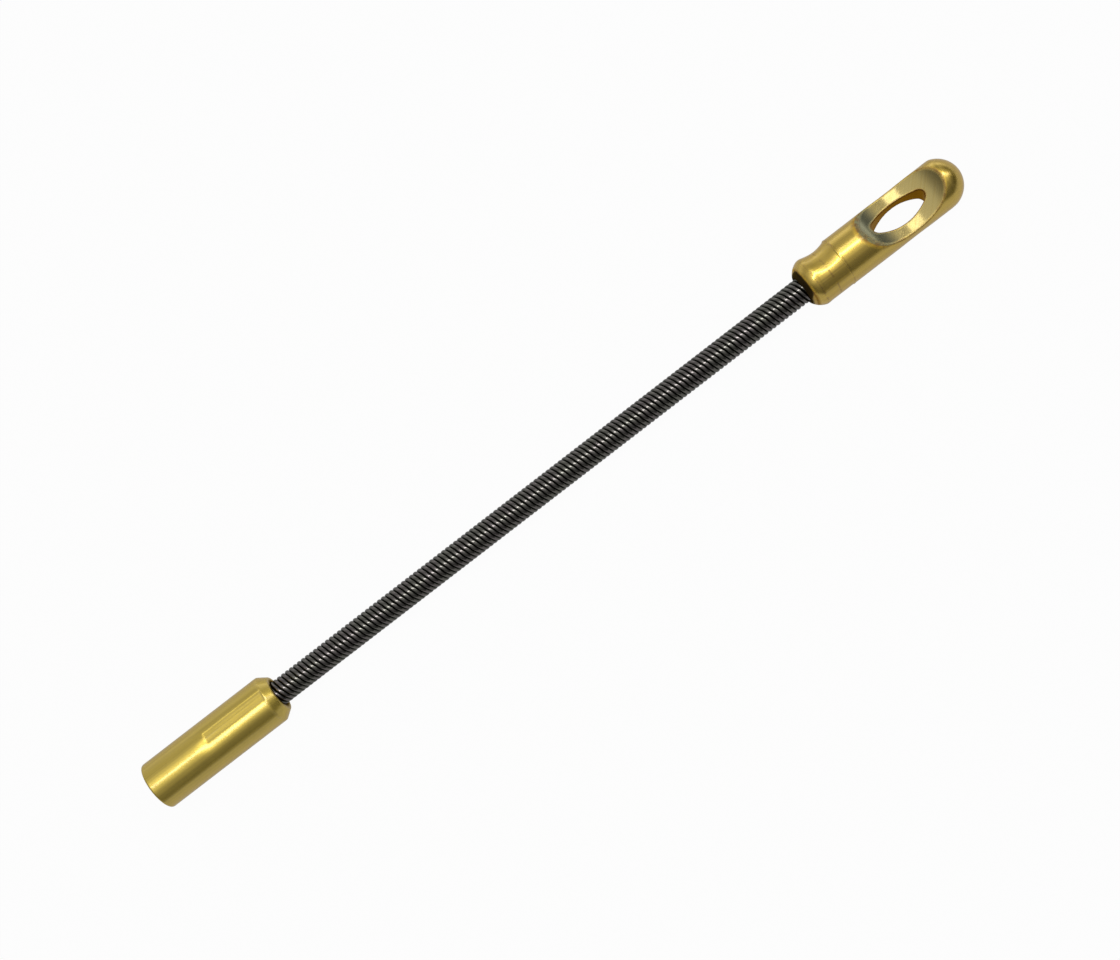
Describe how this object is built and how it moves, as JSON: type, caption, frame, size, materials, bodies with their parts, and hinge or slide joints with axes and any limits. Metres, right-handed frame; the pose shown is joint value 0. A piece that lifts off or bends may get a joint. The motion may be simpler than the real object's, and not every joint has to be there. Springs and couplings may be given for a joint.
{
  "type": "flexible cable pulling leader",
  "caption": "Bendable pulling leader: a threaded brass socket and a brass pulling eye joined by a black close-wound wire member.",
  "frame": {"origin": "centre of the socket's open threaded mouth, on the leader's axis", "axes": "+X along the leader from the socket to the pulling eye, +Z out of one of the two scooped flats, +Y across the leader on the deep side of the crimped waist"},
  "size_m": [0.1523, 0.008, 0.008],
  "materials": {
    "socket_brass": "turned, drawn lengthwise, lightly dulled",
    "eye_brass": "turned and milled, lightly polished",
    "black_wire": "blackened, lightly oiled",
    "rope_steel": "drawn wire"
  },
  "bodies": {
    "socket_end": {"socket": "socket_brass", "outer_wire_1": "black_wire", "outer_wire_2": "black_wire", "outer_wire_3": "black_wire", "outer_wire_4": "black_wire", "outer_wire_5": "black_wire", "core_rope_1": "rope_steel"},
    "link_1": {"core_rope_2": "rope_steel"},
    "link_2": {"core_rope_3": "rope_steel"},
    "link_3": {"core_rope_4": "rope_steel"},
    "link_4": {"core_rope_5": "rope_steel"},
    "link_5": {"core_rope_6": "rope_steel"},
    "link_6": {"core_rope_7": "rope_steel"},
    "link_7": {"core_rope_8": "rope_steel"},
    "link_8": {"core_rope_9": "rope_steel"},
    "link_9": {"core_rope_10": "rope_steel"},
    "link_10": {"core_rope_11": "rope_steel"},
    "link_11": {"core_rope_12": "rope_steel"},
    "link_12": {"core_rope_13": "rope_steel"},
    "link_13": {"core_rope_14": "rope_steel"},
    "link_14": {"core_rope_15": "rope_steel"},
    "link_15": {"core_rope_16": "rope_steel"},
    "eye_end": {"eye_head": "eye_brass", "core_rope_17": "rope_steel"}
  },
  "joints": [
    {"name": "bend_side_1", "type": "hinge", "parent": "socket_end", "child": "link_1", "pos_m": [0.02651, 0, 0], "axis": [0, -0.0175, 0.9998], "range_deg": [-11.25, 11.25], "stiffness_Nm_per_rad": 0.45, "deforming": ["outer_wire_1", "outer_wire_2", "outer_wire_3", "outer_wire_4", "outer_wire_5"]},
    {"name": "bend_lift_1", "type": "hinge", "parent": "link_1", "child": "link_2", "pos_m": [0.03273, 0, 0], "axis": [0, -0.9998, -0.0175], "range_deg": [-11.25, 11.25], "stiffness_Nm_per_rad": 0.45},
    {"name": "bend_side_2", "type": "hinge", "parent": "link_2", "child": "link_3", "pos_m": [0.03895, 0, 0], "axis": [0, -0.0175, 0.9998], "range_deg": [-11.25, 11.25], "stiffness_Nm_per_rad": 0.45},
    {"name": "bend_lift_2", "type": "hinge", "parent": "link_3", "child": "link_4", "pos_m": [0.04517, 0, 0], "axis": [0, -0.9998, -0.0175], "range_deg": [-11.25, 11.25], "stiffness_Nm_per_rad": 0.45},
    {"name": "bend_side_3", "type": "hinge", "parent": "link_4", "child": "link_5", "pos_m": [0.05138, 0, 0], "axis": [0, -0.0175, 0.9998], "range_deg": [-11.25, 11.25], "stiffness_Nm_per_rad": 0.45},
    {"name": "bend_lift_3", "type": "hinge", "parent": "link_5", "child": "link_6", "pos_m": [0.0576, 0, 0], "axis": [0, -0.9998, -0.0175], "range_deg": [-11.25, 11.25], "stiffness_Nm_per_rad": 0.45},
    {"name": "bend_side_4", "type": "hinge", "parent": "link_6", "child": "link_7", "pos_m": [0.06382, 0, 0], "axis": [0, -0.0175, 0.9998], "range_deg": [-11.25, 11.25], "stiffness_Nm_per_rad": 0.45},
    {"name": "bend_lift_4", "type": "hinge", "parent": "link_7", "child": "link_8", "pos_m": [0.07004, 0, 0], "axis": [0, -0.9998, -0.0175], "range_deg": [-11.25, 11.25], "stiffness_Nm_per_rad": 0.45},
    {"name": "bend_side_5", "type": "hinge", "parent": "link_8", "child": "link_9", "pos_m": [0.07626, 0, 0], "axis": [0, -0.0175, 0.9998], "range_deg": [-11.25, 11.25], "stiffness_Nm_per_rad": 0.45},
    {"name": "bend_lift_5", "type": "hinge", "parent": "link_9", "child": "link_10", "pos_m": [0.08248, 0, 0], "axis": [0, -0.9998, -0.0175], "range_deg": [-11.25, 11.25], "stiffness_Nm_per_rad": 0.45},
    {"name": "bend_side_6", "type": "hinge", "parent": "link_10", "child": "link_11", "pos_m": [0.0887, 0, 0], "axis": [0, -0.0175, 0.9998], "range_deg": [-11.25, 11.25], "stiffness_Nm_per_rad": 0.45},
    {"name": "bend_lift_6", "type": "hinge", "parent": "link_11", "child": "link_12", "pos_m": [0.09492, 0, 0], "axis": [0, -0.9998, -0.0175], "range_deg": [-11.25, 11.25], "stiffness_Nm_per_rad": 0.45},
    {"name": "bend_side_7", "type": "hinge", "parent": "link_12", "child": "link_13", "pos_m": [0.10113, 0, 0], "axis": [0, -0.0175, 0.9998], "range_deg": [-11.25, 11.25], "stiffness_Nm_per_rad": 0.45},
    {"name": "bend_lift_7", "type": "hinge", "parent": "link_13", "child": "link_14", "pos_m": [0.10735, 0, 0], "axis": [0, -0.9998, -0.0175], "range_deg": [-11.25, 11.25], "stiffness_Nm_per_rad": 0.45},
    {"name": "bend_side_8", "type": "hinge", "parent": "link_14", "child": "link_15", "pos_m": [0.11357, 0, 0], "axis": [0, -0.0175, 0.9998], "range_deg": [-11.25, 11.25], "stiffness_Nm_per_rad": 0.45},
    {"name": "bend_lift_8", "type": "hinge", "parent": "link_15", "child": "eye_end", "pos_m": [0.11979, 0, 0], "axis": [0, -0.9998, -0.0175], "range_deg": [-11.25, 11.25], "stiffness_Nm_per_rad": 0.45}
  ],
  "couplings": [
    {"joint": "bend_side_2", "follows": "bend_side_1", "ratio": 1},
    {"joint": "bend_lift_2", "follows": "bend_lift_1", "ratio": 1},
    {"joint": "bend_side_3", "follows": "bend_side_1", "ratio": 1},
    {"joint": "bend_lift_3", "follows": "bend_lift_1", "ratio": 1},
    {"joint": "bend_side_4", "follows": "bend_side_1", "ratio": 1},
    {"joint": "bend_lift_4", "follows": "bend_lift_1", "ratio": 1},
    {"joint": "bend_side_5", "follows": "bend_side_1", "ratio": 1},
    {"joint": "bend_lift_5", "follows": "bend_lift_1", "ratio": 1},
    {"joint": "bend_side_6", "follows": "bend_side_1", "ratio": 1},
    {"joint": "bend_lift_6", "follows": "bend_lift_1", "ratio": 1},
    {"joint": "bend_side_7", "follows": "bend_side_1", "ratio": 1},
    {"joint": "bend_lift_7", "follows": "bend_lift_1", "ratio": 1},
    {"joint": "bend_side_8", "follows": "bend_side_1", "ratio": 1},
    {"joint": "bend_lift_8", "follows": "bend_lift_1", "ratio": 1}
  ]
}
